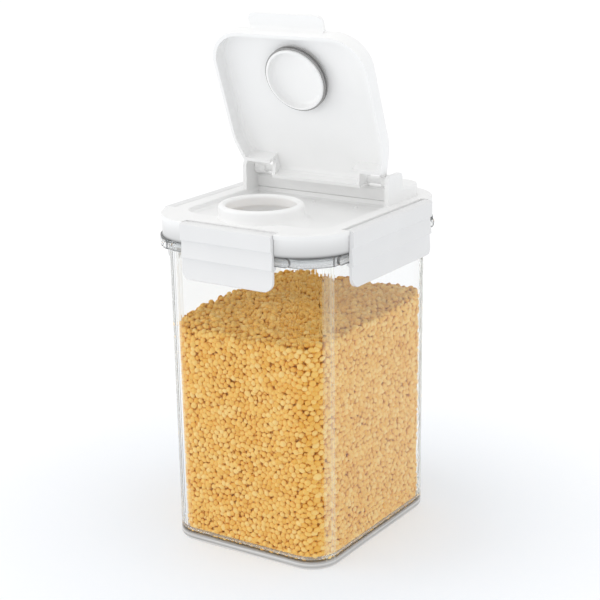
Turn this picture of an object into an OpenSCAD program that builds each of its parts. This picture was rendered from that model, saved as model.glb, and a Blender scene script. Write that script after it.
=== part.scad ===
// Cereal container: a clear tapered tub, a white lid held by four flap latches,
// and a flip-up cover whose plug closes a round pouring spout.
// Millimetres. X runs along the front face, Y to the back, Z up.
// The origin is the centre of the foot. The cover is drawn standing open.

/* [Tub] */
// Outside width of the tub at its mouth (X)
mouth_w = 106; // [100:1:130]
// Outside depth of the tub at its mouth (Y)
mouth_d = 126; // [120:1:150]
// Outside corner radius at the mouth
mouth_r = 18; // [14:1:20]
// How much each side leans in from mouth to foot
draft = 1; // [0:0.25:2]
// Height of the tub
tub_h = 179.2; // [140:0.2:240]
// Thickness of the side walls
wall = 3; // [2:0.25:4]
// Thickness of the floor
floor_t = 5; // [3:0.5:8]
// Radius that rounds the bottom edge
foot_round = 2.4; // [1:0.2:3]

/* [Rim] */
// Height of the flange round the mouth
flange_h = 5.2; // [4.4:0.2:7]
// Thickness of the flange's plate and of its turned-down lip
flange_t = 1.8; // [1.4:0.1:2.2]
// How far the flange sticks out past the lid at the corners
flange_show = 0.5; // [0:0.1:1]
// How far the flange steps back behind a latch, from the lid's edge
flange_step = 3.2; // [3:0.1:3.6]
// Depth of the ridge that a latch hooks under
ridge_depth = 1.8; // [1.4:0.1:2]

/* [Lid] */
// How far the lid reaches past the tub on each side
lid_reach = 7; // [6:0.5:10]
// Corner radius of the lid
lid_r = 32; // [28:1:34]
// Height of the lid's edge, top plate and skirt together
skirt_h = 11.9; // [11:0.1:16]
// Thickness of the lid's top plate
plate_t = 2.4; // [2:0.1:3]
// Thickness of the lid's thinner walls
lid_wall = 2; // [1.6:0.1:2.4]
// Depth of the sunk field round the spout
field_depth = 3.2; // [2.4:0.2:6]
// Distance from the lid's front edge to the sunk field
field_back = 21; // [16:1:26]
// Plan corner radius of the sunk field
field_r = 13; // [8:1:16]
// Radius of the sunk field's bottom edge
field_round = 2.6; // [1:0.2:2.8]

/* [Spout] */
// Radius of the pouring bore
spout_bore_r = 19.4; // [16:0.1:22]
// Outside radius of the spout's rolled rim
spout_rim_r = 23.4; // [22:0.1:26]
// Height of the spout above the lid
spout_h = 7.4; // [6:0.2:7.4]
// Distance from the lid's front edge to the spout's centre
spout_back = 33; // [30:0.5:40]
// Radius of the flare at the spout's root
spout_flare = 5.5; // [2:0.5:6]
// Depth of the spout's narrow mouth, above its wider throat
mouth_depth = 5.8; // [5.2:0.2:7]

/* [Rear block] */
// Distance from the lid's front edge to the block's front wall
block_back = 97.6; // [94:0.2:100]
// Length of the block from front to back
block_len = 27.4; // [20:0.2:30]
// Distance from the lid's side edge to the block's side
block_side = 11; // [9:0.2:11.4]
// Plan radius of the block's rear corners
block_r = 9; // [6:1:12]
// Thickness of the two hinge cheeks
cheek_t = 2.5; // [2:0.1:3]
// How far the cheeks stand forward of the block
cheek_front = 12; // [8:0.5:12]
// How far the cheeks reach behind the hinge axis
cheek_rear = 4.5; // [4:0.5:8]
// How far the cheeks rise above the hinge axis
cheek_rise = 5.2; // [4:0.2:7]

/* [Flip cover] */
// How far the cover stands open from shut, in degrees
cover_open = 70; // [0:1:100]
// Distance from the lid's side edge to the cover's side
cover_side = 10; // [9:0.2:11]
// How far the cover reaches past the plug's centre
cover_past = 28.6; // [27:0.2:29]
// Depth of the cover from its rim to its top
tray_h = 10.2; // [10:0.1:12]
// Thickness of the cover's top panel
panel_t = 1.8; // [1.6:0.1:2]
// Thickness of the cover's side walls
cover_wall = 2; // [1.6:0.1:2.4]
// Plan radius of the cover's front corners
cover_r = 20.5; // [16:0.5:22]
// How far the hinge axis lies above the cover's top
hinge_rise = 1.1; // [1:0.1:2]
// Distance from a cheek to its hinge window
window_side = 7; // [6.5:0.5:9]
// Width of the hinge windows
window_w = 10.1; // [8:0.1:12]
// Length of the hinge windows
window_len = 10.5; // [9:0.5:12]
// How far the cover's hinge end stays inside the cheeks
heel_in = 4; // [3.5:0.1:4.5]
// Length over which the cover narrows to the hinge
heel_len = 29; // [27:0.5:34]
// Depth of the cover's rear wall between the windows, below the hinge axis
lip_depth = 10; // [8:0.2:11]
// Half of the finger tab's width
tab_half_w = 24; // [20:0.5:28]
// How far the finger tab reaches past the front wall
tab_len = 9.4; // [7:0.2:12]
// Thickness of the finger tab
tab_t = 1.8; // [1.6:0.1:2]
// How far the finger tab lies below the cover's top
tab_drop = 1.8; // [0.4:0.2:3]
// Plan radius of the finger tab's corners
tab_r = 4; // [2:0.5:5]

/* [Hinge pins] */
// Radius of a cover hinge pin
pin_r = 2; // [1.6:0.1:2.2]
// Radius of the knuckles that turn on the pins
knuckle_r = 3.6; // [3.4:0.1:4]
// Width of the inner knuckles
knuckle_w = 3; // [2:0.5:4]

/* [Plug] */
// Outside radius of the plug's cup
cup_r = 18.2; // [15:0.1:18.4]
// Height of the cup below the cover's panel
cup_h = 5.8; // [5:0.2:6.6]
// Wall thickness of the cup at its rim
cup_wall = 1.4; // [1.2:0.1:2]
// Height of the seal collar round the cup
seal_h = 3; // [2.4:0.2:3.4]
// How far the seal collar sits from the cover's panel
seal_up = 1.6; // [1:0.2:1.8]

/* [Latches] */
// Half of the front and back latches' width
latch_front_half = 29.4; // [26:0.2:31]
// Half of the side latches' width
latch_side_half = 42.6; // [38:0.2:44]
// Length of a latch from the lid's top to its lower edge
latch_len = 31.2; // [30:0.2:36]
// How far a latch stands out past the lid's edge
latch_proud = 2; // [1.6:0.1:2.4]
// Distance of the latch's axis below the lid's top
latch_axis_drop = 2.8; // [2.6:0.1:3]
// Distance of the latch's axis inside the lid's edge
latch_axis_in = 2.6; // [2.4:0.1:3]
// Radius of the stub pins that a latch turns on
stub_r = 1.1; // [1:0.05:1.2]
// How far the stub pins stand out of a latch's ends
stub_len = 2.2; // [1.6:0.1:2.6]
// Plan radius of a latch's lower corners
latch_corner_r = 6; // [4:0.5:8]
// Height of a latch's top band
band_top_h = 9.4; // [8:0.2:10]
// Height of a latch's middle band
band_mid_h = 9.8; // [8:0.2:11]

/* [Liner and gasket] */
// How far the liner's wall reaches down into the tub
liner_drop = 5; // [4.6:0.2:12]
// Height of the gasket ring
gasket_h = 2.7; // [2.1:0.3:3]
// Depth of the gasket's groove in the liner
gasket_groove = 1; // [0.6:0.1:1.2]

/* [Contents] */
// Height of the cereal above the table
fill_z = 130; // [60:1:150]

/* [Hidden] */
$fn = 96;
hull_fn = 48;
thin = 0.01;
cut = 1;
// share of an edge's radius at the middle layer of its rounding
mid_round = 0.3;

// clearances
run_gap = 0.06;
soft_gap = 0.2;
seat_gap = 0.3;
cover_gap = 0.3;
swing_gap = 0.4;
liner_gap = 0.6;
seal_gap = 0.3;

// tub
foot_w = mouth_w - 2 * draft;
foot_d = mouth_d - 2 * draft;
foot_r = mouth_r - draft;
cavity_w = mouth_w - 2 * wall;
cavity_d = mouth_d - 2 * wall;
cavity_r = mouth_r - wall;
flange_z = tub_h - flange_h;
floor_round = 3;

// lid
lid_w = mouth_w + 2 * lid_reach;
lid_d = mouth_d + 2 * lid_reach;
skirt_z = tub_h + seat_gap;
lid_z = skirt_z + skirt_h;
plate_z = lid_z - plate_t;
lid_front = -lid_d / 2;
lip_over = 0.6;
edge_round = 0.5;
block_half_w = lid_w / 2 - block_side;
cheek_in = block_half_w - cheek_t;
field_z = lid_z - field_depth;
field_half_w = cheek_in;
field_front = lid_front + field_back;
field_flare = 0.8;
spout_y = lid_front + spout_back;
spout_z = lid_z + spout_h;
spout_roll = (spout_rim_r - spout_bore_r) / 2;
throat_wall = 1.4;
throat_r = spout_rim_r - throat_wall;

// cover hinge
cover_rim_z = lid_z + cover_gap;
hinge_z = cover_rim_z + tray_h + hinge_rise;
block_y = lid_front + block_back;
hinge_lead = 0.6;
hinge_y = block_y - hinge_lead;
block_z = hinge_z - knuckle_r - swing_gap;
block_round = 1.6;
cheek_round = 3;
pip_r = 0.9;
pip_places = [[-2, block_y - 9], [28, block_y - 12]];

// flip cover, measured from its axis: n counts down from it when the cover is shut
cover_half_w = lid_w / 2 - cover_side;
plug_reach = hinge_y - spout_y;
cover_len = plug_reach + cover_past;
heel_half_w = cheek_in - heel_in;
window_out = cheek_in - window_side;
window_in = window_out - window_w;
knuckle_end = cheek_in - cover_gap;
heel_run = 5;
heel_bend = 0.6;
heel_steps = 6;
top_round = 2.4;
inner_round = 2.4;
tab_fillet = 3;
floor_n = hinge_rise + panel_t;
rim_n = hinge_rise + tray_h;

// plug
base_t = 1.2;
dish_round = 2.4;
collar_in = 0.5;
collar_t = 0.6;
seal_lip = 0.8;

// latches, in a latch's own section: out from its axis and up from it
axis_z = lid_z - latch_axis_drop;
barrel_drop = 0.2;
barrel_r = latch_axis_drop - barrel_drop;
latch_out = latch_proud + latch_axis_in;
notch_in = latch_axis_in + barrel_r + swing_gap;
ridge_out = latch_axis_in - flange_step + ridge_depth;
latch_in = ridge_out + swing_gap;
hook_reach = 1.6;
hook_t = 2.4;
hook_up = flange_z - swing_gap - axis_z;
latch_low = barrel_r - latch_len;
end_gap = 0.3;
boss_r = 2.4;
boss_w = 3;
boss_inset = lip_over + lid_wall / 2;
ridge_past = 8.8;
flange_past = 14;
band_mid_in = 1.2;
band_low_in = 1.5;
flare_steps = 6;

// ---- plan shapes and helpers ----

module plan(w, d, r) {
    square([w - 2 * r, d], center = true);
    square([w, d - 2 * r], center = true);
    for (x = [-1, 1], y = [-1, 1])
        translate([x * (w / 2 - r), y * (d / 2 - r)]) circle(r);
}

module slab(w, d, r, z, h) {
    translate([0, 0, z]) linear_extrude(h) plan(w, d, r);
}

module ring_slab(w, d, r, t, z, h) {
    difference() {
        slab(w, d, r, z, h);
        slab(w - 2 * t, d - 2 * t, r - t, z - cut, h + 2 * cut);
    }
}

// turns a shape drawn for the front side to one of the four sides
module on_side(turn) {
    rotate([0, 0, turn]) children();
}

// extrudes an outline drawn in Y and Z from one X to another
module along_x(x0, x1) {
    translate([x0, 0, 0]) rotate([90, 0, 90]) linear_extrude(x1 - x0) children();
}

module both_sides() {
    for (side = [0, 1]) mirror([side, 0, 0]) children();
}

SIDES = [0, 90, 180, 270];
function edge_at(turn) = (turn % 180 == 0 ? lid_d : lid_w) / 2;
function latch_half(turn) = turn % 180 == 0 ? latch_front_half : latch_side_half;
function axis_y(turn) = latch_axis_in - edge_at(turn);

// ---- tub ----

module tub_outside() {
    hull() {
        $fn = hull_fn;
        slab(foot_w - 2 * foot_round, foot_d - 2 * foot_round, foot_r - foot_round, 0, thin);
        slab(foot_w - 2 * mid_round * foot_round, foot_d - 2 * mid_round * foot_round,
             foot_r - mid_round * foot_round, mid_round * foot_round, thin);
        slab(foot_w, foot_d, foot_r, foot_round, thin);
        slab(mouth_w, mouth_d, mouth_r, tub_h - thin, thin);
    }
}

// the room inside the tub up to a height, smaller all round by a gap
module tub_inside(gap, top) {
    lean = draft * (tub_h - floor_t) / tub_h;
    lean_top = draft * max(0, tub_h - top) / tub_h;
    w = cavity_w - 2 * gap;
    d = cavity_d - 2 * gap;
    r = cavity_r - gap;
    low = floor_t + gap;
    mid_in = mid_round * floor_round;
    hull() {
        $fn = hull_fn;
        slab(w - 2 * (lean + floor_round), d - 2 * (lean + floor_round), r - lean - floor_round,
             low, thin);
        slab(w - 2 * (lean + mid_in), d - 2 * (lean + mid_in), r - lean - mid_in, low + mid_in, thin);
        slab(w - 2 * lean, d - 2 * lean, r - lean, low + floor_round, thin);
        slab(w - 2 * lean_top, d - 2 * lean_top, r - lean_top, top - thin, thin);
    }
}

// everything further out than a line set in from the lid's edge, behind each latch
module latch_strip(inset, past, z, h) {
    for (turn = SIDES) on_side(turn)
        translate([-latch_half(turn) - past, -edge_at(turn) - lid_reach, z])
            cube([2 * (latch_half(turn) + past), lid_reach + inset, h]);
}

module flange() {
    w = lid_w + 2 * flange_show;
    d = lid_d + 2 * flange_show;
    r = lid_r + flange_show;
    difference() {
        slab(w, d, r, flange_z, flange_h);
        latch_strip(flange_step, flange_past, flange_z - cut, flange_h + 2 * cut);
        difference() {
            slab(w - 2 * flange_t, d - 2 * flange_t, r - flange_t, flange_z - cut,
                 flange_h - flange_t + cut);
            latch_strip(flange_step + flange_t, flange_past + flange_t, flange_z - 2 * cut,
                        flange_h + 3 * cut);
        }
    }
}

// round-ended ridge that a latch hooks under
module ridge(turn) {
    r = flange_h / 2;
    half = latch_half(turn) + ridge_past - r;
    on_side(turn) translate([0, flange_step - edge_at(turn) + flange_t, flange_z + r])
        rotate([90, 0, 0]) linear_extrude(ridge_depth + flange_t) {
            square([2 * half, flange_h], center = true);
            for (x = [-half, half]) translate([x, 0]) circle(r);
        }
}

module container_body() {
    color([0.93, 0.95, 0.96, 0.35]) difference() {
        union() {
            tub_outside();
            flange();
            for (turn = SIDES) ridge(turn);
        }
        tub_inside(0, tub_h + cut);
    }
}

module cereal_fill() {
    color([0.88, 0.69, 0.37]) tub_inside(soft_gap, fill_z);
}

// ---- lid ----

// half section of a slab with a rounded top edge, reaching out to x
module edge_section(x, h, e) {
    square([x, h - e]);
    square([x - e, h]);
    translate([x - e, h - e]) circle(e);
}

// slab with round plan corners and a rounded top edge
module soft_slab(w, d, r, z, h, e) {
    translate([0, 0, z]) {
        for (x = [r - w / 2, w / 2 - r], y = [r - d / 2, d / 2 - r])
            translate([x, y, 0]) rotate_extrude() edge_section(r, h, e);
        for (turn = [0, 180]) rotate([0, 0, turn]) {
            along_x(r - w / 2, w / 2 - r) edge_section(d / 2, h, e);
            rotate([0, 0, 90]) along_x(r - d / 2, d / 2 - r) edge_section(w / 2, h, e);
        }
    }
}

module lid_plate() {
    soft_slab(lid_w, lid_d, lid_r, plate_z, plate_t, edge_round);
}

module lid_skirt() {
    difference() {
        slab(lid_w - 2 * lip_over, lid_d - 2 * lip_over, lid_r - lip_over, skirt_z, skirt_h - plate_t);
        slab(lid_w - 2 * (lip_over + lid_wall), lid_d - 2 * (lip_over + lid_wall),
             lid_r - lip_over - lid_wall, skirt_z - cut, skirt_h + cut);
    }
}

// a slab over the sunk field, grown or shrunk all round
module field_slab(grow, z, h) {
    y0 = field_front - grow;
    y1 = block_y + min(grow, lid_wall);
    translate([0, (y0 + y1) / 2, z]) linear_extrude(h)
        plan(2 * (field_half_w + grow), y1 - y0, field_r + grow);
    translate([-field_half_w - grow, y1 - field_r - grow, z])
        cube([2 * (field_half_w + grow), field_r + grow, h]);
}

module field_room() {
    hull() {
        $fn = hull_fn;
        field_slab(-field_round, field_z, thin);
        field_slab(-mid_round * field_round, field_z + mid_round * field_round, thin);
        field_slab(0, field_z + field_round, field_depth - field_round + cut);
    }
    hull() {
        $fn = hull_fn;
        field_slab(0, lid_z - field_flare / 2, thin);
        field_slab(field_flare, lid_z, thin);
    }
}

module block_plan(inset) {
    back = block_y + block_len - inset;
    half = block_half_w - inset;
    r = block_r - inset;
    translate([-half, block_y + inset]) square([2 * half, back - block_y - inset - r]);
    translate([r - half, block_y + inset]) square([2 * (half - r), back - block_y - inset]);
    for (x = [r - half, half - r]) translate([x, back - r]) circle(r);
}

module block_layer(inset, z) {
    translate([0, 0, z]) linear_extrude(thin) block_plan(inset);
}

module block_outside() {
    hull() {
        $fn = hull_fn;
        block_layer(0, plate_z + plate_t / 2);
        block_layer(0, block_z - block_round);
        block_layer(mid_round * block_round, block_z - mid_round * block_round);
        block_layer(block_round, block_z - thin);
    }
}

module block_inside() {
    translate([0, 0, plate_z - cut]) linear_extrude(block_z - plate_z - lid_wall + cut)
        block_plan(lid_wall);
}

module cheeks() {
    y0 = block_y - cheek_front;
    y1 = hinge_y + cheek_rear;
    top = hinge_z + cheek_rise;
    both_sides() along_x(cheek_in, block_half_w) {
        translate([y0, plate_z]) square([y1 - y0, top - plate_z - cheek_round]);
        translate([y0 + cheek_round, plate_z]) square([y1 - y0 - 2 * cheek_round, top - plate_z]);
        for (y = [y0 + cheek_round, y1 - cheek_round]) translate([y, top - cheek_round])
            circle(cheek_round);
    }
}

// half section of the spout: straight wall with a rounded rim and a flared root
module spout_section() {
    low = field_z - lid_wall;
    translate([0, low]) square([spout_rim_r, spout_z - spout_roll - low]);
    translate([0, low]) square([spout_rim_r - spout_roll, spout_z - low]);
    translate([spout_rim_r - spout_roll, spout_z - spout_roll]) circle(spout_roll);
    difference() {
        translate([0, low]) square([spout_rim_r + spout_flare, field_z - low + spout_flare]);
        translate([spout_rim_r + spout_flare, field_z + spout_flare]) circle(spout_flare);
    }
}

module spout_outside() {
    difference() {
        translate([0, spout_y, 0]) rotate_extrude() spout_section();
        latch_notch(0);
    }
}

module spout_passage() {
    low = field_z - lid_wall;
    translate([0, spout_y, low - cut]) cylinder(r = spout_bore_r, h = spout_z - low + 2 * cut);
    translate([0, spout_y, low - cut]) cylinder(r = throat_r, h = spout_z - mouth_depth - low + cut);
    translate([0, spout_y, spout_z]) rotate_extrude() difference() {
        translate([0, -spout_roll]) square([spout_rim_r - spout_roll, 2 * spout_roll]);
        translate([spout_rim_r - spout_roll, -spout_roll]) circle(spout_roll);
    }
}

// room for a latch's top and its swing, cut from the lid's edge
module latch_notch(turn) {
    half = latch_half(turn) + end_gap;
    on_side(turn) translate([-half, -edge_at(turn) - cut, skirt_z - cut])
        cube([2 * half, notch_in + cut, skirt_h + 2 * cut]);
}

// wall behind a latch's top, and the bosses that hold its stub pins
module latch_seat(turn) {
    half = latch_half(turn) + end_gap;
    wall_y = notch_in - edge_at(turn);
    on_side(turn) translate([-half - boss_w, wall_y, skirt_z])
        cube([2 * (half + boss_w), lid_wall, skirt_h - plate_t]);
    intersection() {
        on_side(turn) both_sides() along_x(half, half + boss_w) {
            translate([axis_y(turn), axis_z]) circle(boss_r);
            translate([axis_y(turn) - boss_r, axis_z]) square([2 * boss_r, plate_z - axis_z]);
            translate([axis_y(turn), axis_z - boss_r])
                square([wall_y - axis_y(turn) + thin, plate_z - axis_z + boss_r]);
        }
        slab(lid_w - 2 * boss_inset, lid_d - 2 * boss_inset, lid_r - boss_inset, skirt_z, skirt_h);
    }
}

module stub_holes(turn) {
    half = latch_half(turn) + end_gap;
    on_side(turn) both_sides() translate([half - cut, axis_y(turn), axis_z]) rotate([0, 90, 0])
        cylinder(r = stub_r + run_gap, h = stub_len + cut);
}

module pin_holes() {
    both_sides() translate([cheek_in - cut, hinge_y, hinge_z]) rotate([0, 90, 0])
        cylinder(r = pin_r, h = cheek_t + 2 * cut);
}

// two small pips on the floor of the sunk field
module pips() {
    for (at = pip_places) translate([at[0], at[1], field_z]) sphere(pip_r, $fn = 24);
}

module lid_top() {
    color("white") difference() {
        union() {
            difference() {
                union() {
                    lid_plate();
                    lid_skirt();
                    block_outside();
                    field_slab(lid_wall, field_z - lid_wall, plate_z - field_z + lid_wall);
                }
                field_room();
                block_inside();
                for (turn = SIDES) latch_notch(turn);
            }
            cheeks();
            pips();
            spout_outside();
            for (turn = SIDES) latch_seat(turn);
        }
        spout_passage();
        pin_holes();
        for (turn = SIDES) stub_holes(turn);
    }
}

// ---- liner and gasket ----

liner_w = cavity_w - 2 * liner_gap;
liner_d = cavity_d - 2 * liner_gap;
liner_r = cavity_r - liner_gap;
liner_low = tub_h - liner_drop;
liner_top = field_z - lid_wall;
liner_t = lid_wall + gasket_groove;
groove_up = 1;
groove_z = liner_low + groove_up;
rim_inset = notch_in + lid_wall + soft_gap;
rim_w = lid_w - 2 * rim_inset;
rim_d = lid_d - 2 * rim_inset;
rim_corner_in = 1;
rim_r = mouth_r - rim_corner_in;

module lid_liner() {
    color("whitesmoke") difference() {
        union() {
            slab(liner_w, liner_d, liner_r, liner_low, liner_top - liner_low);
            slab(rim_w, rim_d, rim_r, skirt_z, lid_wall);
        }
        ring_slab(liner_w + 2 * cut, liner_d + 2 * cut, liner_r + cut, gasket_groove + cut, groove_z,
                  gasket_h);
        slab(liner_w - 2 * liner_t, liner_d - 2 * liner_t, liner_r - liner_t, liner_low - cut,
             liner_top - liner_low - lid_wall + cut);
        translate([0, spout_y, liner_top - lid_wall - cut])
            cylinder(r = spout_bore_r, h = lid_wall + 2 * cut);
    }
}

module lid_gasket() {
    lean = draft * (tub_h - groove_z) / tub_h;
    w = cavity_w - 2 * (lean + soft_gap);
    d = cavity_d - 2 * (lean + soft_gap);
    r = cavity_r - lean - soft_gap;
    t = (w - liner_w) / 2 + gasket_groove;
    dip = soft_gap;
    bead = gasket_h / 3;
    color("gainsboro") {
        ring_slab(w, d, r, t, groove_z, bead);
        ring_slab(w - 2 * dip, d - 2 * dip, r - dip, t - dip, groove_z + bead, bead);
        ring_slab(w, d, r, t, groove_z + 2 * bead, bead);
    }
}

// ---- latches ----

// points of a face that falls back at the top and flares out again below
function flare(u0, u1, w0, w1) = [for (i = [0 : flare_steps]) let (t = i / flare_steps)
    [u0 + (u1 - u0) * t * t, w0 + (w1 - w0) * t]];

module latch_section() {
    mid = barrel_r - band_top_h;
    low = mid - band_mid_h;
    bevel = 0.8;
    step = 0.3;
    polygon(concat(
        [[0, barrel_r], [latch_out - bevel, barrel_r], [latch_out, barrel_r - bevel],
         [latch_out, mid + step], [latch_out - step, mid]],
        flare(latch_out - band_mid_in, latch_out - step, mid, low + step),
        [[latch_out - 2 * step, low]],
        flare(latch_out - band_low_in, latch_out - step, low, latch_low + 2 * step),
        [[latch_out - 3 * step, latch_low], [latch_in + step, latch_low], [latch_in, latch_low + step],
         [latch_in, hook_up - hook_t], [latch_in - hook_reach, hook_up - hook_t / 2],
         [latch_in - hook_reach, hook_up], [latch_in, hook_up], [latch_in, -barrel_r], [0, -barrel_r]]));
    circle(barrel_r);
}

// a latch's face, with rounded lower corners
module latch_face(half) {
    low = axis_z + latch_low;
    r = latch_corner_r;
    translate([-half, low + r]) square([2 * half, latch_len - r]);
    translate([r - half, low]) square([2 * (half - r), latch_len]);
    for (x = [r - half, half - r]) translate([x, low + r]) circle(r);
}

module latch(turn) {
    half = latch_half(turn);
    color("white") on_side(turn) {
        intersection() {
            translate([0, axis_y(turn), axis_z]) along_x(-half, half) mirror([1, 0]) latch_section();
            translate([0, axis_y(turn) + 2 * barrel_r, 0]) rotate([90, 0, 0])
                linear_extrude(4 * barrel_r + latch_out) latch_face(half);
        }
        translate([-half - stub_len, axis_y(turn), axis_z]) rotate([0, 90, 0])
            cylinder(r = stub_r, h = 2 * (half + stub_len));
    }
}

module latch_front() { latch(0); }
module latch_right() { latch(90); }
module latch_back() { latch(180); }
module latch_left() { latch(270); }

// ---- flip cover, drawn shut with the hinge axis at the origin and then turned open ----

module opened() {
    translate([0, hinge_y, hinge_z]) rotate([-cover_open, 0, 0]) children();
}

// points of the curve by which one side widens from the hinge end to its full width
function heel_curve(side) = [for (i = [0 : heel_steps]) let (t = i / heel_steps)
    [side * (cover_half_w - (cover_half_w - heel_half_w) * (1 - t) * (1 - t)),
     -heel_run - (heel_len - heel_run) * (2 * heel_bend * t * (1 - t) + t * t)]];

module cover_plan() {
    half = cover_half_w;
    r = cover_r;
    for (side = [-1, 1]) polygon(concat([[0, 0], [side * heel_half_w, 0]], heel_curve(side),
                                        [[side * half, r - cover_len], [side * (half - r), -cover_len],
                                         [0, -cover_len]]));
    for (x = [r - half, half - r]) translate([x, r - cover_len]) circle(r);
}

module cover_layer(inset, n) {
    translate([0, 0, -n]) linear_extrude(thin) offset(delta = -inset) cover_plan();
}

module cover_outside() {
    hull() {
        $fn = 2 * hull_fn;
        cover_layer(0, rim_n);
        cover_layer(0, hinge_rise + top_round);
        cover_layer(mid_round * top_round, hinge_rise + mid_round * top_round);
        cover_layer(top_round, hinge_rise + thin);
    }
}

module cover_inside() {
    hull() {
        $fn = hull_fn;
        cover_layer(cover_wall, rim_n + cut);
        cover_layer(cover_wall, floor_n + inner_round);
        cover_layer(cover_wall + mid_round * inner_round, floor_n + mid_round * inner_round);
        cover_layer(cover_wall + inner_round, floor_n + thin);
    }
}

// the room round the hinge that the cover's rear corners leave free
module heel_room() {
    both_sides() {
        along_x(window_in, cover_half_w + cut)
            polygon([[-window_len, -rim_n - cut], [cut, -rim_n - cut], [cut, -floor_n],
                     [-knuckle_r, -floor_n], [-window_len, -lip_depth]]);
        translate([window_in, -window_len, -rim_n - cut])
            cube([window_out - window_in, window_len + cut, rim_n + cut]);
    }
    along_x(-window_in - cut, window_in + cut)
        translate([-cover_wall - cut, -rim_n - cut]) square([cover_wall + 2 * cut, rim_n - lip_depth + cut]);
}

// walls that stay standing inside the tray beside the windows
module window_walls() {
    both_sides() {
        translate([window_in - cover_wall, -window_len - cover_wall, -rim_n - 2 * cut])
            cube([cover_half_w, cover_wall, rim_n + cut]);
        along_x(window_in - cover_wall, window_in)
            polygon([[cut, cut], [-window_len - cover_wall, cut],
                     [-window_len - cover_wall, -floor_n - cut], [-cover_wall, -lip_depth],
                     [cut, -lip_depth]]);
    }
}

// finger tab with a hollow root against the front wall
module finger_tab() {
    top = -hinge_rise - tab_drop;
    root = top - tab_t - tab_fillet;
    intersection() {
        along_x(-tab_half_w, tab_half_w) {
            translate([-cover_len - tab_len, top - tab_t]) square([tab_len + cover_wall, tab_t]);
            difference() {
                translate([-cover_len - tab_fillet, root]) square([tab_fillet + cut, tab_fillet + cut]);
                translate([-cover_len - tab_fillet, root]) circle(tab_fillet);
            }
        }
        translate([0, tab_half_w - cover_len - tab_len, -rim_n]) linear_extrude(rim_n)
            plan(2 * tab_half_w, 2 * tab_half_w, tab_r);
    }
}

module knuckles() {
    both_sides() {
        along_x(window_in - knuckle_w, window_in) circle(knuckle_r);
        along_x(window_in - knuckle_w, window_in) translate([-2 * knuckle_r, -floor_n])
            square([2 * knuckle_r, floor_n]);
        along_x(window_out, knuckle_end) circle(knuckle_r);
        along_x(window_out, heel_half_w) translate([-2 * knuckle_r, -floor_n])
            square([2 * knuckle_r, floor_n]);
    }
}

module flip_cover() {
    color("white") opened() difference() {
        union() {
            difference() {
                cover_outside();
                difference() {
                    cover_inside();
                    window_walls();
                }
                heel_room();
            }
            finger_tab();
            knuckles();
        }
        both_sides() translate([window_in - knuckle_w - cut, 0, 0]) rotate([0, 90, 0])
            cylinder(r = pin_r + run_gap, h = block_half_w);
    }
}

// ---- plug ----

// turns a half section round the plug's axis, with heights measured down from the panel
module plug_turned() {
    opened() translate([0, -plug_reach, -floor_n]) rotate([180, 0, 0]) rotate_extrude() children();
}

module plug_cup() {
    lip = cup_wall / 2;
    dish_r = cup_r - cup_wall;
    seat_r = cup_r - collar_in;
    color("white") plug_turned() difference() {
        union() {
            square([cup_r - lip, cup_h]);
            translate([0, seal_up + seal_h]) square([cup_r, cup_h - lip - seal_up - seal_h]);
            translate([cup_r - lip, cup_h - lip]) circle(lip);
        }
        translate([seat_r, seal_up]) square([cup_wall, seal_h]);
        difference() {
            translate([-cut, base_t]) square([dish_r + cut, cup_h]);
            difference() {
                translate([dish_r - dish_round, base_t]) square([dish_round + cut, dish_round]);
                translate([dish_r - dish_round, base_t + dish_round]) circle(dish_round);
            }
        }
    }
}

module plug_seal() {
    seat_r = cup_r - collar_in;
    lip_r = spout_bore_r - seal_gap;
    color("silver") plug_turned() {
        translate([seat_r, seal_up]) square([collar_t, seal_h]);
        for (i = [0, 1]) translate([seat_r, seal_up + i * (seal_h - seal_lip)])
            square([lip_r - seat_r, seal_lip]);
    }
}

// ---- hinge pins ----

module hinge_pin(side) {
    inner = window_in - knuckle_w + soft_gap;
    color("white") mirror([side, 0, 0]) translate([inner, hinge_y, hinge_z]) rotate([0, 90, 0])
        cylinder(r = pin_r, h = block_half_w - inner);
}

module hinge_pin_left() { hinge_pin(1); }
module hinge_pin_right() { hinge_pin(0); }

container_body();
cereal_fill();
lid_top();
lid_liner();
lid_gasket();
latch_front();
latch_right();
latch_back();
latch_left();
flip_cover();
plug_cup();
plug_seal();
hinge_pin_left();
hinge_pin_right();
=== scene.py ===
import math

import bmesh
import bpy
import numpy as np
from mathutils import Matrix, Vector
from mathutils.kdtree import KDTree


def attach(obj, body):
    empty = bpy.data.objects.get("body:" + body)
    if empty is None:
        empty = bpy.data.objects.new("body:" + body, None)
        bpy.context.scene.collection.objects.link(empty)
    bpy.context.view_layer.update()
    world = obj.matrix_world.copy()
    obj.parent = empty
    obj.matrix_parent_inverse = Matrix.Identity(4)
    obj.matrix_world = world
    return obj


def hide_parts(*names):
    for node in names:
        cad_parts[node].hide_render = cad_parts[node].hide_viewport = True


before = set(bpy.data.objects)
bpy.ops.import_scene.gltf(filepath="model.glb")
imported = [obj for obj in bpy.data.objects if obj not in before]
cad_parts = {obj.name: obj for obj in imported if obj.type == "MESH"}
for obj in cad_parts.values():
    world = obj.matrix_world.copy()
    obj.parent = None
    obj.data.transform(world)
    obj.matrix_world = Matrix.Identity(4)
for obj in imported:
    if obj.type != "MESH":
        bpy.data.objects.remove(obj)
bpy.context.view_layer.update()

MM = 0.001
scene = bpy.context.scene
scene.view_settings.view_transform = "Standard"
# light goes back and forth many times inside the tub's clear walls
scene.cycles.max_bounces = 24
scene.cycles.glossy_bounces = 16
scene.cycles.transmission_bounces = 16


# ---- camera ----

# solved from the photograph's straight edges: angles in degrees, place in mm
CAMERA_TURN, CAMERA_PITCH, CAMERA_ROLL = 33.34, 16.25, -0.91
CAMERA_PLACE = (469.7, -714.3, 383.6)
FOCAL_PIXELS = 1556.6
PHOTO_WIDTH = 600
SENSOR_WIDTH = 36
CLIP_END = 50


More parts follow.
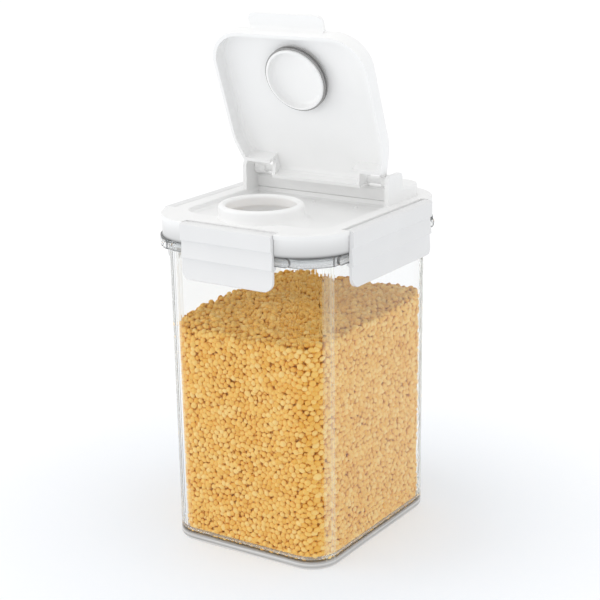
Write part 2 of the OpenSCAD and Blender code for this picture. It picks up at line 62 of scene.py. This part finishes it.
def make_camera():
    turn, pitch, roll = (math.radians(angle) for angle in (CAMERA_TURN, CAMERA_PITCH, CAMERA_ROLL))
    right = Vector((math.cos(turn), math.sin(turn), 0))
    ahead = Vector((-math.sin(turn) * math.cos(pitch), math.cos(turn) * math.cos(pitch), -math.sin(pitch)))
    up = right.cross(ahead)
    side = right * math.cos(roll) + up * math.sin(roll)
    top = -right * math.sin(roll) + up * math.cos(roll)
    data = bpy.data.cameras.new("camera")
    data.sensor_width = SENSOR_WIDTH
    data.sensor_fit = "HORIZONTAL"
    data.lens = SENSOR_WIDTH * FOCAL_PIXELS / PHOTO_WIDTH
    data.clip_end = CLIP_END
    camera = bpy.data.objects.new("camera", data)
    scene.collection.objects.link(camera)
    matrix = Matrix((side, top, -ahead)).transposed().to_4x4()
    matrix.translation = Vector(CAMERA_PLACE) * MM
    camera.matrix_world = matrix
    scene.camera = camera


# ---- node helpers ----

# heights in a ramp are shares of this many metres, because a ramp runs from 0 to 1
BAND_SPAN = 0.2


class Nodes:
    """The node tree of a material or a world, with short ways to add and join nodes."""

    def __init__(self, owner, output):
        self.owner = owner
        owner.use_nodes = True
        self.tree = owner.node_tree
        self.tree.nodes.clear()
        self.output = self.add(output)

    def add(self, kind, **inputs):
        node = self.tree.nodes.new(kind)
        for name, value in inputs.items():
            node.inputs[name.replace("_", " ")].default_value = value
        return node

    def join(self, out, into):
        self.tree.links.new(out, into)

    def principled(self, **inputs):
        return self.add("ShaderNodeBsdfPrincipled", **inputs)

    def place(self):
        """Where a point lies on its object, in metres."""
        return self.add("ShaderNodeTexCoord").outputs["Object"]

    def axes(self):
        """That place's x, y and z."""
        split = self.add("ShaderNodeSeparateXYZ")
        self.join(self.place(), split.inputs[0])
        return split.outputs

    def height(self):
        """That place's height, as a share of BAND_SPAN."""
        return self.math("DIVIDE", self.axes()["Z"], BAND_SPAN)

    def noise(self, scale, detail=2.0, stretch=None):
        """Noise over the object; stretch scales x, y and z first."""
        place = self.place()
        if stretch:
            mapping = self.add("ShaderNodeMapping", Scale=stretch)
            self.join(place, mapping.inputs["Vector"])
            place = mapping.outputs["Vector"]
        node = self.add("ShaderNodeTexNoise", Scale=scale, Detail=detail)
        self.join(place, node.inputs["Vector"])
        return node.outputs["Fac"]

    def ramp(self, value, *stops):
        """A colour ramp through stops of (position, colour)."""
        node = self.add("ShaderNodeValToRGB")
        band = node.color_ramp
        while len(band.elements) < len(stops):
            band.elements.new(0.5)
        for element, (at, colour) in zip(band.elements, stops):
            element.position = at
            element.color = (*colour, 1)
        self.join(value, node.inputs["Fac"])
        return node.outputs["Color"]

    def levels(self, value, *stops):
        """A grey ramp through stops of (position, level)."""
        return self.ramp(value, *((at, (level,) * 3) for at, level in stops))

    def product(self, first, second):
        """One colour times another."""
        node = self.add("ShaderNodeMix")
        node.data_type = "RGBA"
        node.blend_type = "MULTIPLY"
        node.inputs["Factor"].default_value = 1
        colours = [s for s in node.inputs if s.type == "RGBA"]
        self.join(first, colours[0])
        self.join(second, colours[1])
        return next(s for s in node.outputs if s.type == "RGBA")

    def spread(self, value, low, high):
        """A value from 0 to 1, spread from low to high."""
        node = self.add("ShaderNodeMapRange")
        node.inputs["To Min"].default_value = low
        node.inputs["To Max"].default_value = high
        self.join(value, node.inputs["Value"])
        return node.outputs["Result"]

    def bump(self, height, strength, distance):
        node = self.add("ShaderNodeBump", Strength=strength, Distance=distance)
        self.join(height, node.inputs["Height"])
        return node.outputs["Normal"]

    def math(self, operation, first, second=0.0):
        node = self.add("ShaderNodeMath")
        node.operation = operation
        for socket, value in zip(node.inputs, (first, second)):
            if isinstance(value, (int, float)):
                socket.default_value = value
            else:
                self.join(value, socket)
        return node.outputs[0]

    def any_ray(self, *kinds):
        """1 for a ray of any of these kinds, 0 for the others."""
        path = self.add("ShaderNodeLightPath")
        value = path.outputs[kinds[0]]
        for kind in kinds[1:]:
            value = self.math("MAXIMUM", value, path.outputs[kind])
        return value

    def mix(self, share, first, second):
        """A mix of two shaders, with this share of the second."""
        node = self.add("ShaderNodeMixShader")
        if isinstance(share, float):
            node.inputs[0].default_value = share
        else:
            self.join(share, node.inputs[0])
        self.join(first, node.inputs[1])
        self.join(second, node.inputs[2])
        return node.outputs[0]

    def show(self, shader):
        self.join(shader, self.output.inputs["Surface"])
        return self.owner


def material_nodes(name):
    return Nodes(bpy.data.materials.new(name), "ShaderNodeOutputMaterial")


def srgb(code):
    parts = [int(code[i:i + 2], 16) / 255 for i in (0, 2, 4)]
    return tuple(c / 12.92 if c <= 0.04045 else ((c + 0.055) / 1.055) ** 2.4 for c in parts)


# ---- the tub's clear plastic ----

# painted shade and painted highlight lines at the foot and the flange, for light that the thick plastic
# there bends: a grey band with lighter lines across the foot, a painted shadow line along the flange's lower
# edge and a dark painted shadow line under the lid's skirt; how much shows, and how light, by height
PAINTED_BAND_SHARES = ((0, 0.85), (0.024, 0.8), (0.0265, 0.7), (0.028, 0.0), (0.866, 0.0), (0.868, 0.4),
                (0.871, 0.4), (0.874, 0.12), (0.8915, 0.12), (0.893, 0.7), (0.897, 0.7))
PAINTED_BAND_TONES = ((0, 0.3), (0.002, 0.4), (0.004, 0.9), (0.008, 0.85), (0.01, 0.5), (0.015, 0.55),
               (0.018, 0.92), (0.021, 0.9), (0.0235, 0.55), (0.0265, 0.72), (0.86, 0.3), (0.872, 0.35),
               (0.875, 0.9), (0.8905, 0.9), (0.893, 0.15))
# fine level streaks in that painted band
STREAK_STRETCH = (18, 18, 1100)
STREAK_TONES = ((0.35, 0.75), (0.6, 1.0))
# a painted highlight on each corner's arc, standing in for the light that the rounded corner reflects and
# bends, by the share of its quarter turn: brighter along its two edges
PAINTED_HIGHLIGHT_LEVELS = ((0.085, 0.0), (0.095, 0.25), (0.125, 0.25), (0.14, 0.12), (0.31, 0.09), (0.322, 0.15),
                 (0.335, 0.15), (0.347, 0.0))
# the middle of a corner's arc, and the height at which its painted highlight ends, in metres
ARC_X, ARC_Y = 0.035, 0.045
PAINTED_HIGHLIGHT_TOP = 0.172
PAINTED_HIGHLIGHT_ROUGHNESS = 0.3


def corner_painted_highlight(n):
    """How strong the painted highlight on the tub's corners is, standing in for the light that the rounded
    corners reflect and bend.
    """
    axes = n.axes()
    x = n.math("SUBTRACT", n.math("ABSOLUTE", axes["X"]), ARC_X)
    y = n.math("SUBTRACT", n.math("ABSOLUTE", axes["Y"]), ARC_Y)
    on_arc = n.math("MULTIPLY", n.math("GREATER_THAN", x, 0.0), n.math("GREATER_THAN", y, 0.0))
    level = n.levels(n.math("DIVIDE", n.math("ARCTAN2", y, x), math.pi / 2), *PAINTED_HIGHLIGHT_LEVELS)
    low = n.math("LESS_THAN", axes["Z"], PAINTED_HIGHLIGHT_TOP)
    return n.math("MULTIPLY", n.math("MULTIPLY", level, on_arc), low)


def clear_plastic():
    """Clear plastic, with a painted highlight on the corners and painted shade with painted highlight lines
    at the foot and the flange.

    Its own mirror haze is turned down, and light for the grain goes straight through it.
    """
    n = material_nodes("clear_plastic")
    solid = n.principled(Base_Color=(0.985, 0.99, 0.99, 1), IOR=1.49)
    solid.inputs["Transmission Weight"].default_value = 1
    solid.inputs["Specular Tint"].default_value = (0.12, 0.12, 0.12, 1)
    painted_highlight = corner_painted_highlight(n)
    rough = n.math("ADD", n.spread(n.noise(60), 0.0, 0.02), n.math("MULTIPLY", painted_highlight, PAINTED_HIGHLIGHT_ROUGHNESS))
    n.join(rough, solid.inputs["Roughness"])
    n.join(n.bump(n.noise(26, 1), 0.05, 0.0004), solid.inputs["Normal"])
    # a pale diffuse over the corners: a painted highlight
    painted_highlight_shader = n.add("ShaderNodeBsdfDiffuse", Color=(0.94, 0.94, 0.8, 1))
    body = n.mix(painted_highlight, solid.outputs[0], painted_highlight_shader.outputs[0])
    height = n.height()
    streaks = n.levels(n.noise(1.0, stretch=STREAK_STRETCH), *STREAK_TONES)
    # a grey diffuse over the foot and the flange: painted shade with painted highlight lines
    painted_band = n.add("ShaderNodeBsdfDiffuse")
    n.join(n.product(n.levels(height, *PAINTED_BAND_TONES), streaks), painted_band.inputs["Color"])
    body = n.mix(n.levels(height, *PAINTED_BAND_SHARES), body, painted_band.outputs[0])
    through = n.add("ShaderNodeBsdfTransparent", Color=(0.99, 0.99, 0.99, 1))
    inside = n.add("ShaderNodeVolumeAbsorption", Color=(0.86, 0.88, 0.89, 1), Density=60)
    n.join(inside.outputs[0], n.output.inputs["Volume"])
    return n.show(n.mix(n.any_ray("Is Shadow Ray", "Is Diffuse Ray"), body, through.outputs[0]))


# ---- moulded plastic and rubber ----

# painted shade on the lid, by height: a painted shadow line along its skirt's lower edge, where it meets the
# flange, and a little painted shade low on the skirt
LID_SHADE = ((0.9, 0.3), (0.903, 0.7), (0.925, 0.84), (0.945, 1.0))
# roughness from and to, and how fine the surface's grain is
PLASTIC_GLOSS, PLASTIC_FINE = (0.3, 0.42), 900
SEAL_GLOSS, GASKET_GLOSS, RUBBER_FINE = (0.5, 0.62), (0.45, 0.6), 600


def moulded(name, light, dark, gloss=PLASTIC_GLOSS, fine=PLASTIC_FINE, shade=None):
    """Moulded plastic: faint cloudy tone, uneven gloss and a fine grain; shade, where given, is painted
    shade that darkens it by height.
    """
    n = material_nodes(name)
    solid = n.principled(IOR=1.47)
    tone = n.ramp(n.noise(38, 3), (0.3, dark), (0.7, light))
    if shade:
        tone = n.product(tone, n.levels(n.height(), *shade))
    n.join(tone, solid.inputs["Base Color"])
    n.join(n.spread(n.noise(240, 3), *gloss), solid.inputs["Roughness"])
    n.join(n.bump(n.noise(fine, 2), 0.25, 0.00003), solid.inputs["Normal"])
    return n.show(solid.outputs[0])


def finish_nodes():
    """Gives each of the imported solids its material; the liner and the hinge pins are plain white."""
    white = moulded("white_plastic", (0.90, 0.90, 0.895), (0.87, 0.87, 0.865))
    # the lid: a little darker than white_plastic, as painted shade on its lamp-lit top, and with LID_SHADE's
    # painted shade
    lid = moulded("lid_plastic_painted_shade", (0.89, 0.89, 0.885), (0.87, 0.87, 0.865), shade=LID_SHADE)
    # the cover and the cup: the same white plastic made lighter, as painted light on the cover's
    # forward-leaning front
    cover = moulded("cover_plastic_painted_light", (0.93, 0.93, 0.925), (0.91, 0.91, 0.905))
    # the latches: the same white plastic made darker, as painted shade
    latch = moulded("latch_plastic_painted_shade", (0.795, 0.795, 0.795), (0.775, 0.775, 0.775))
    seal = moulded("grey_silicone", srgb("A6A5A4"), srgb("989796"), SEAL_GLOSS, RUBBER_FINE)
    gasket = moulded("silicone", srgb("DADCDC"), srgb("D0D3D3"), GASKET_GLOSS, RUBBER_FINE)
    finishes = {"container_body": clear_plastic(), "lid_top": lid, "flip_cover": cover, "plug_cup": cover,
                "plug_seal": seal, "lid_gasket": gasket}
    for name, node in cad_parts.items():
        node.data.materials.clear()
        node.data.materials.append(finishes.get(name, latch if name.startswith("latch") else white))


# ---- the grain's materials ----

GRAIN_TONES = ((0.0, "F2B956"), (0.25, "F8C568"), (0.7, "FBCE74"), (1.0, "FEDA8C"))
CORE_TONES = ((0.35, "E0A244"), (0.65, "F0B85A"))
MOTTLE_TONES = ((0.3, (0.95, 0.93, 0.9)), (0.7, (1, 1, 1)))
# painted shade down a grain's sides, turning brown where grains shade each other in the gaps between them
SIDE_SHADE_TONES = ((0.0, (0.76, 0.55, 0.25)), (0.28, (0.88, 0.72, 0.45)), (0.5, (1, 0.985, 0.94)),
              (0.9, (1, 1, 1)))


def grain_skin():
    """Pale golden husk: each grain its own tone, with a faint mottle, and painted shade deeper down its
    sides.
    """
    n = material_nodes("cereal")
    solid = n.principled(IOR=1.42)
    solid.inputs["Specular IOR Level"].default_value = 0.2
    own = n.add("ShaderNodeNewGeometry").outputs["Random Per Island"]
    tone = n.ramp(own, *((at, srgb(code)) for at, code in GRAIN_TONES))
    mottle = n.ramp(n.noise(700, 2), *MOTTLE_TONES)
    rise = n.add("ShaderNodeAttribute")
    rise.attribute_name = "rise"
    # painted shade where grains shade each other, by how far each point stands out
    sides = n.ramp(rise.outputs["Fac"], *SIDE_SHADE_TONES)
    n.join(n.product(n.product(tone, mottle), sides), solid.inputs["Base Color"])
    n.join(n.spread(n.noise(900), 0.42, 0.6), solid.inputs["Roughness"])
    return n.show(solid.outputs[0])


def grain_core():
    """Rough golden ground for what shows between the grains."""
    n = material_nodes("cereal_core")
    solid = n.principled(Roughness=0.9)
    lumps = n.noise(420, 2)
    n.join(n.ramp(lumps, *((at, srgb(code)) for at, code in CORE_TONES)), solid.inputs["Base Color"])
    n.join(n.bump(lumps, 0.8, 0.001), solid.inputs["Normal"])
    return n.show(solid.outputs[0])


# ---- the room that the grain fills, in mm ----

# half sizes at the tub's foot, how much they grow for each mm of height, and the corner radius
ROOM_X, ROOM_Y, ROOM_R = 48.8, 58.8, 13.8
ROOM_LEAN = 1 / 179.2
# the grain's lowest point, its highest on a wall, and the radius of the tub's inner round at the foot
GRAIN_LOW = 5.4
GRAIN_HIGH = 133
FOOT_R = 3.2
# how far a lying grain's middle is above what it lies on
BED = 1.3
# how much wider to each side the room is at the heap
HEAP_ROOM = 0.7
# the heap: its height at the front wall before the dips there and at the right wall, and its slope
HEAP_Z = 131.6
HEAP_SLOPE = 0.022
FRONT_Y, FRONT_DIP, FRONT_REACH = -59.6, 5.0, 7.5
RIGHT_X, RIGHT_DIP, RIGHT_REACH = 49.6, 1.4, 8


def wall_point(share, z, inset):
    """Points on the room's wall, at a share of the way round it, with their outward directions."""
    half_x = ROOM_X + ROOM_LEAN * z - inset
    half_y = ROOM_Y + ROOM_LEAN * z - inset
    r = np.maximum(ROOM_R - inset, 1)
    arc = math.pi / 2 * r
    flat_x, flat_y = 2 * (half_x - r), 2 * (half_y - r)
    at = (share % 1) * (2 * flat_x + 2 * flat_y + 4 * arc)
    x, y, out_x, out_y = (np.zeros_like(at) for _ in range(4))
    start = np.zeros_like(at)
    # front, right, back and left: each side's flat, then the corner after it
    for side, length in enumerate((flat_x, flat_y, flat_x, flat_y)):
        turn = side * math.pi / 2
        c, s = math.cos(turn), math.sin(turn)
        half, reach = (half_x, half_y) if side % 2 == 0 else (half_y, half_x)
        along = at - start
        here = (along >= 0) & (along < length)
        u = along - (half - r)
        x = np.where(here, c * u + s * reach, x)
        y = np.where(here, s * u - c * reach, y)
        out_x, out_y = np.where(here, s, out_x), np.where(here, -c, out_y)
        start = start + length
        along = at - start
        here = (along >= 0) & (along <= arc)
        angle = turn - math.pi / 2 + along / r
        u, v = half - r, reach - r
        x = np.where(here, c * u + s * v + r * np.cos(angle), x)
        y = np.where(here, s * u - c * v + r * np.sin(angle), y)
        out_x, out_y = np.where(here, np.cos(angle), out_x), np.where(here, np.sin(angle), out_y)
        start = start + arc
    return np.stack([x, y], 1), np.stack([out_x, out_y], 1)


def heap_top(x, y):
    """Height of the heap: rising to the back, lower along the front and right walls, and uneven."""
    wave = 0.5 * np.sin(x / 11 + 1) * np.cos(y / 14) + 0.35 * np.sin(x / 5.3 + y / 7.1)
    front = FRONT_DIP * np.exp(-(y - FRONT_Y) / FRONT_REACH)
    right = RIGHT_DIP * np.exp(-(RIGHT_X - x) / RIGHT_REACH)
    return HEAP_Z + HEAP_SLOPE * (y - FRONT_Y) + wave - front - right


# ---- where the grains lie ----

rng = np.random.default_rng(7)
ROW_STEP = 0.866
ROW_JITTER = 0.3
PUSH_ROUNDS = 5
PUSH_SHARE = 0.32
TOUCHING = 1e-6
NO_WRAP = 1000.0
# the strip of points round the wall, from 1 mm above the lowest grain
STRIP_HEIGHT = 128
# how far below the heap's top the highest grains against the wall stay
BELOW_TOP = 1.4


def loose_rows(width, height, gap):
    """Points in staggered rows, knocked well out of line."""
    columns, rows = round(width / gap), round(height / (ROW_STEP * gap))
    at = np.arange(columns * rows)
    x = (at % columns + 0.5 * (at // columns % 2)) * width / columns
    y = at // columns * height / rows
    return np.stack([x, y], 1) + rng.normal(0, ROW_JITTER * gap, (columns * rows, 2))


def even_out(points, gap, wrap):
    """Pushes points apart until they lie about a gap from each other, on a strip that wraps round in x."""
    for _ in range(PUSH_ROUNDS):
        tree = KDTree(3 * len(points))
        for i, (px, py) in enumerate(points):
            for j, shift in enumerate((0, -wrap, wrap)):
                tree.insert((px + shift, py, 0), i + j * len(points))
        tree.balance()
        moved = points.copy()
        for i, (px, py) in enumerate(points):
            for near, index, distance in tree.find_range((px, py, 0), gap):
                if index != i and distance > TOUCHING:
                    push = PUSH_SHARE * (gap - distance) / distance
                    moved[i, 0] += (px - near[0]) * push
                    moved[i, 1] += (py - near[1]) * push
        points = moved
    return points


def side_layer(gap, inset, wobble):
    """Middles and outward directions of grains that lie against the tub's wall, up to the heap's top."""
    # the length of the rounded outline, a little short of true where it is inset
    around = 2 * (2 * ROOM_X + 2 * ROOM_Y) - (8 - 2 * math.pi) * ROOM_R - 8 * inset * 0.8
    spots = loose_rows(around, STRIP_HEIGHT, gap) + [0, GRAIN_LOW + 1]
    spots = even_out(spots, gap, around)
    spots[:, 1] = spots[:, 1].clip(GRAIN_LOW + BED, GRAIN_HIGH)
    depth = inset + rng.uniform(0, wobble, len(spots))
    # the tub's inner round pushes the lowest grains inwards
    low = np.maximum(0, GRAIN_LOW + FOOT_R - spots[:, 1])
    depth = depth + FOOT_R - np.sqrt(np.maximum(FOOT_R ** 2 - low ** 2, 0))
    xy, out = wall_point(spots[:, 0] / around, spots[:, 1], depth)
    top = heap_top(xy[:, 0], xy[:, 1])
    keep = spots[:, 1] < top - BELOW_TOP
    centres = np.column_stack([xy, spots[:, 1]])[keep]
    return centres, np.column_stack([out, np.zeros(len(spots))])[keep]


def flat_layer(gap, z_of, wobble, direction, inset):
    """Middles and directions of grains that lie on a level, facing up for 1 or down for -1."""
    half_x, half_y = ROOM_X + HEAP_ROOM - inset, ROOM_Y + HEAP_ROOM - inset
    spots = loose_rows(2 * half_x, 2 * half_y, gap) - [half_x, half_y]
    spots = even_out(spots, gap, NO_WRAP)
    spots = np.stack([spots[:, 0].clip(-half_x, half_x), spots[:, 1].clip(-half_y, half_y)], 1)
    r = ROOM_R - inset
    past_x = np.maximum(np.abs(spots[:, 0]) - (half_x - r), 0)
    past_y = np.maximum(np.abs(spots[:, 1]) - (half_y - r), 0)
    spots = spots[np.hypot(past_x, past_y) <= r]
    z = z_of(spots[:, 0], spots[:, 1]) - direction * rng.uniform(0, wobble, len(spots))
    return np.column_stack([spots, z]), np.tile([0.0, 0, direction], (len(spots), 1))


# ---- the grains themselves ----

GRAIN_KINDS = 12
# half a grain's length, width and thickness in mm, from and to, and how much its whole size varies
GRAIN_LONG, GRAIN_WIDE, GRAIN_THICK = (1.8, 2.3), (1.52, 1.78), (1.35, 1.6)
GRAIN_VARIES, GRAIN_SMALLEST, GRAIN_LARGEST = 0.09, 0.8, 1.22
TILT = 0.25
LOOSE_TILT = 1.2
# how much less painted side shade the loose grains on the heap get
LOOSE_RISE = 0.5


def add_mesh(name, points, tris, material, rise=None):
    """A smooth mesh of triangles that rides on the tub, with each point's rise where it is given."""
    mesh = bpy.data.meshes.new(name)
    mesh.vertices.add(len(points))
    mesh.vertices.foreach_set("co", (np.asarray(points) * MM).astype(np.float32).ravel())
    mesh.loops.add(tris.size)
    mesh.loops.foreach_set("vertex_index", tris.astype(np.int32).ravel())
    mesh.polygons.add(len(tris))
    mesh.polygons.foreach_set("loop_start", np.arange(0, tris.size, 3, dtype=np.int32))
    mesh.polygons.foreach_set("use_smooth", np.full(len(tris), True))
    mesh.materials.append(material)
    mesh.update(calc_edges=True)
    if rise is not None:
        mesh.attributes.new("rise", "FLOAT", "POINT").data.foreach_set("value", rise.astype(np.float32))
    obj = bpy.data.objects.new(name, mesh)
    scene.collection.objects.link(obj)
    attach(obj, "container")
    return obj


def grain_shapes(detail):
    """A few slightly uneven balls, one unit from the middle to each end."""
    bm = bmesh.new()
    bmesh.ops.create_icosphere(bm, subdivisions=detail, radius=1)
    ball = np.array([v.co for v in bm.verts])
    tris = np.array([[v.index for v in f.verts] for f in bm.faces])
    bm.free()
    shapes = []
    for _ in range(GRAIN_KINDS):
        push = rng.normal(0, 1, (4, 3))
        swell = 1 + sum(0.035 * np.sin(ball @ p * 1.6 + i) for i, p in enumerate(push))
        shapes.append(ball * swell[:, None])
    return shapes, tris


def grain_sizes(count):
    """Half lengths, widths and thicknesses."""
    bulk = rng.normal(1, GRAIN_VARIES, (count, 1)).clip(GRAIN_SMALLEST, GRAIN_LARGEST)
    ranges = (GRAIN_LONG, GRAIN_WIDE, GRAIN_THICK)
    return bulk * np.stack([rng.uniform(*ends, count) for ends in ranges], 1)


def strew(name, centres, out, sizes, material, loose, detail):
    """One mesh of grains: each lies flat against its wall, turned at random and a little tilted.

    Loose grains, on the heap, tilt more and get less of the painted side shade. A point's rise is how
    far it stands out of its bed, from -1 at a grain's underside to 1 at its top; it sets that painted shade.
    """
    shapes, tris = grain_shapes(detail)
    count = len(centres)
    out = out / np.linalg.norm(out, axis=1)[:, None]
    helper = np.where(np.abs(out[:, 2:3]) > 0.9, [[1.0, 0, 0]], [[0, 0, 1.0]])
    t1 = np.cross(out, helper)
    t1 /= np.linalg.norm(t1, axis=1)[:, None]
    t2 = np.cross(out, t1)
    spin = rng.uniform(0, math.pi, count)[:, None]
    tilt = (rng.normal(0, TILT, count) * (1 + LOOSE_TILT * loose))[:, None]
    long = t1 * np.cos(spin) + t2 * np.sin(spin)
    wide = t2 * np.cos(spin) - t1 * np.sin(spin)
    lean = long * np.cos(tilt) + out * np.sin(tilt)
    thick = out * np.cos(tilt) - long * np.sin(tilt)
    offsets = np.concatenate([
        (shapes[i % GRAIN_KINDS] * sizes[i]) @ np.stack([lean[i], wide[i], thick[i]]) for i in range(count)])
    each = len(shapes[0])
    rise = (offsets * np.repeat(out, each, 0)).sum(1) / np.repeat(sizes[:, 2], each)
    rise += LOOSE_RISE * np.repeat(loose, each)
    faces = (tris[None] + (np.arange(count) * each)[:, None, None]).reshape(-1, 3)
    return add_mesh(name, np.repeat(centres, each, 0) + offsets, faces, material, rise)


def heap_core(material, inset):
    """The middle of the heap, behind the grains: rows up the wall, then rings in to the top's middle."""
    steps, rows, rings = 160, 24, 12
    last_z = 126
    share = np.arange(steps) / steps
    points = []
    for k in range(rows):
        z = GRAIN_LOW + inset + k / (rows - 1) * (last_z - inset - GRAIN_LOW)
        xy, _ = wall_point(share, np.full(steps, z), inset)
        lid = heap_top(xy[:, 0], xy[:, 1]) - inset
        points.append(np.column_stack([xy, np.minimum(z, lid) if k < rows - 1 else lid]))
    for k in range(1, rings):
        xy = points[rows - 1][:, :2] * (1 - k / rings)
        points.append(np.column_stack([xy, heap_top(xy[:, 0], xy[:, 1]) - inset]))
    points = np.concatenate(points)
    tris = []
    for k in range(rows + rings - 2):
        for i in range(steps):
            a, b = k * steps + i, k * steps + (i + 1) % steps
            tris += [(a, b, b + steps), (a, b + steps, a + steps)]
    last = (rows + rings - 2) * steps
    middle, low = len(points), len(points) + 1
    points = np.vstack([points, [0, 0, heap_top(0, 0) - inset], [0, 0, GRAIN_LOW + inset]])
    for i in range(steps):
        j = (i + 1) % steps
        tris += [(last + i, last + j, middle), (j, i, low)]
    return add_mesh("cereal_core", points, np.array(tris), material)


def fill_tub():
    """Outer grains in place of the plain block, plainer ones behind them, and the core."""
    skin = grain_skin()
    gap, deep_gap = 3.3, 3.2
    sides, side_out = side_layer(gap, inset=1.6, wobble=0.6)
    top, top_out = flat_layer(gap, lambda x, y: heap_top(x, y) - 0.7, wobble=1.9, direction=1, inset=1.6)
    foot, foot_out = flat_layer(gap, lambda x, y: np.full_like(x, GRAIN_LOW + BED),
                                wobble=0.4, direction=-1, inset=4.0)
    centres = np.concatenate([sides, top, foot])
    out = np.concatenate([side_out, top_out, foot_out])
    loose = np.repeat([0.0, 1.0, 0.0], [len(sides), len(top), len(foot)])
    grains = strew("cereal_grains", centres, out, grain_sizes(len(centres)), skin, loose, detail=2)
    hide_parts("cereal_fill")
    under, under_out = side_layer(deep_gap, inset=2.6, wobble=0.4)
    roof, roof_out = flat_layer(deep_gap, lambda x, y: heap_top(x, y) - 2.8,
                                wobble=0.6, direction=1, inset=3.3)
    centres = np.concatenate([under, roof])
    out = np.concatenate([under_out, roof_out])
    loose = np.repeat([0.0, 1.0], [len(under), len(roof)])
    deep = strew("cereal_under", centres, out, grain_sizes(len(centres)), skin, loose, detail=1)
    core = heap_core(grain_core(), inset=3.1)


# ---- floor and light ----

SEEN_RAYS = ("Is Camera Ray", "Is Glossy Ray", "Is Transmission Ray")
# half the floor's width, and how far it lies below the tub, in metres
FLOOR_HALF = 8
FLOOR_DROP = 0.0002
# how strongly the floor glows where it is seen, by the distance from the middle in metres
FLOOR_GLOW = 1.06
GLOW_SHARES = ((0.1, 0.4), (0.26, 0.97))
# how strongly it glows for the light that it throws back
FLOOR_BOUNCE, BOUNCE_SHARE = 1.15, 0.6
# the studio's white: for what it lights, and where it is seen
WORLD_LIGHT, WORLD_SEEN = 0.7, 1.0
# name, place and size in metres, and watts
LAMPS = (
    ("left", (-1.4, -0.9, 0.7), 1.2, 6),
    ("right", (1.5, 0.3, 0.7), 1.2, 3.5),
    ("top", (-0.05, -0.3, 1.8), 1.2, 6.5),
    ("front", (-0.2, -1.6, 0.55), 1.0, 2.2),
)
LAMP_AIM = (0, 0, 0.14)


def make_floor():
    """A pale floor that keeps the shadow near the object and fades to the background's white."""
    mesh = bpy.data.meshes.new("floor")
    h = FLOOR_HALF
    mesh.from_pydata([(-h, -h, 0), (h, -h, 0), (h, h, 0), (-h, h, 0)], [], [(0, 1, 2, 3)])
    n = material_nodes("floor")
    # the floor's own colour is tinted blue to cancel the warm light that the grain throws on it
    plain = n.add("ShaderNodeBsdfDiffuse", Color=(0.81, 0.88, 0.97, 1))
    glow = n.add("ShaderNodeEmission", Color=(1, 1, 1, 1), Strength=FLOOR_GLOW)
    bounce = n.add("ShaderNodeEmission", Color=(1, 1, 1, 1), Strength=FLOOR_BOUNCE)
    away = n.add("ShaderNodeVectorMath")
    away.operation = "LENGTH"
    n.join(n.place(), away.inputs[0])
    lit = n.mix(n.levels(away.outputs["Value"], *GLOW_SHARES), plain.outputs[0], glow.outputs[0])
    bounced = n.mix(BOUNCE_SHARE, plain.outputs[0], bounce.outputs[0])
    mesh.materials.append(n.show(n.mix(n.any_ray(*SEEN_RAYS), bounced, lit)))
    floor = bpy.data.objects.new("floor", mesh)
    floor.location.z = -FLOOR_DROP
    scene.collection.objects.link(floor)


def make_world():
    world = bpy.data.worlds.new("studio")
    scene.world = world
    n = Nodes(world, "ShaderNodeOutputWorld")
    back = n.add("ShaderNodeBackground", Color=(1, 1, 1, 1))
    n.join(n.spread(n.any_ray(*SEEN_RAYS), WORLD_LIGHT, WORLD_SEEN), back.inputs["Strength"])
    n.show(back.outputs[0])


def make_lamp(name, place, size, power):
    data = bpy.data.lights.new(name, "AREA")
    data.size = size
    data.energy = power
    lamp = bpy.data.objects.new(name, data)
    lamp.location = place
    lamp.rotation_mode = "QUATERNION"
    lamp.rotation_quaternion = (Vector(LAMP_AIM) - Vector(place)).to_track_quat("-Z", "Y")
    scene.collection.objects.link(lamp)


make_camera()
make_floor()
make_world()
for lamp in LAMPS:
    make_lamp(*lamp)
finish_nodes()
fill_tub()
